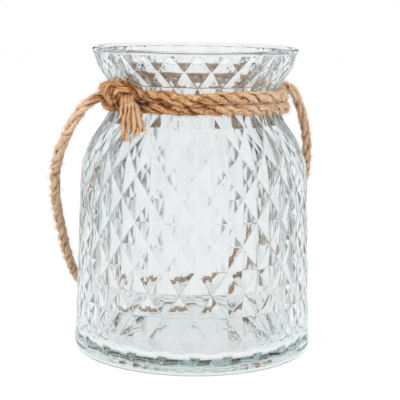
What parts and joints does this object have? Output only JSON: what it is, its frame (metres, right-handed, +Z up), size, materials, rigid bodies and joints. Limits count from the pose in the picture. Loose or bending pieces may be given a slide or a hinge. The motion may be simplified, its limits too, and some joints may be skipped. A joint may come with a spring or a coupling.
{
  "type": "mason jar lantern",
  "caption": "Faceted clear-glass candle jar with a flared rim, jute rope tied round its neck and a slack rope handle that swings over the mouth.",
  "frame": {"origin": "centre of the jar's foot, where it rests on the table", "axes": "+Z up along the jar's axis, -Y towards the front, +X to the right as seen from the front"},
  "size_m": [0.158, 0.1539, 0.176],
  "materials": {
    "glass": "clear pressed glass with a faint grey-green tint",
    "jute": "rough twisted natural jute"
  },
  "bodies": {
    "jar": {"glass_jar": "glass", "neck_turn_upper": "jute", "neck_turn_lower": "jute", "knot": "jute", "tail_long": "jute", "tail_short": "jute", "side_hitch": "jute"},
    "handle": {"rope_handle": "jute"}
  },
  "joints": [
    {"name": "handle_swing", "type": "hinge", "parent": "jar", "child": "handle", "pos_m": [0, 0, 0.15], "axis": [0.766, 0.6428, 0], "range_deg": [0, 280]}
  ]
}
